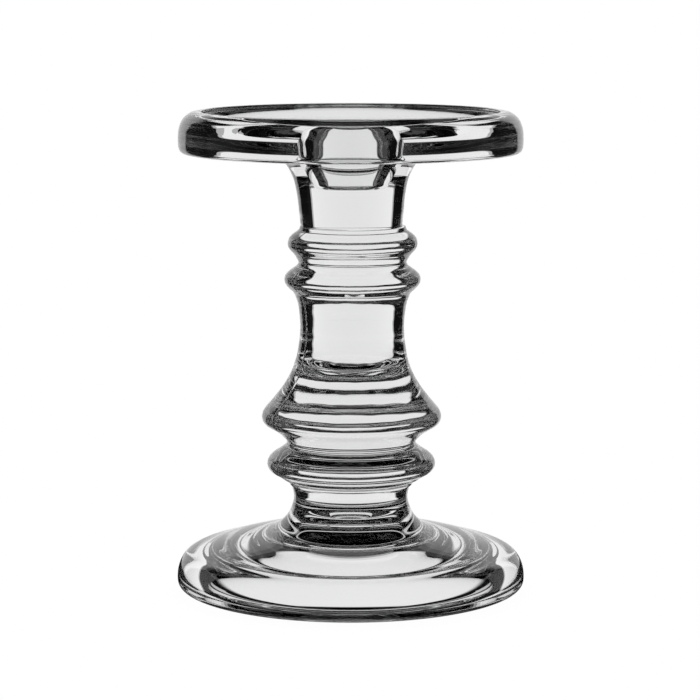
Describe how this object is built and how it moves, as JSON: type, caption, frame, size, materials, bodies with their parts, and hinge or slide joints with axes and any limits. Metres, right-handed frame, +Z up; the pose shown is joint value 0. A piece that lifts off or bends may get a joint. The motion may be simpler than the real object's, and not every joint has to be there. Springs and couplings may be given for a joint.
{
  "type": "glass candlestick",
  "caption": "Clear pressed-glass candlestick: round foot, turned stem with knops and beads, and a thick-rimmed dish with a recess for a pillar candle and a taper socket in its middle.",
  "frame": {"origin": "middle of the foot's underside, on the surface the candlestick stands on", "axes": "+Z up along the axis of the stem; the piece is a body of revolution, and -Y is the side seen from the front"},
  "size_m": [0.1, 0.1, 0.1369],
  "materials": {
    "clear_glass": "colourless soda-lime glass, fire-polished smooth, faint pressing ripples",
    "moulded_glass": "the same colourless glass with a slightly rippled moulded skin and fine mould seams"
  },
  "bodies": {
    "root": {"foot": "clear_glass", "knopped_stem": "moulded_glass", "candle_dish": "clear_glass"}
  },
  "joints": []
}
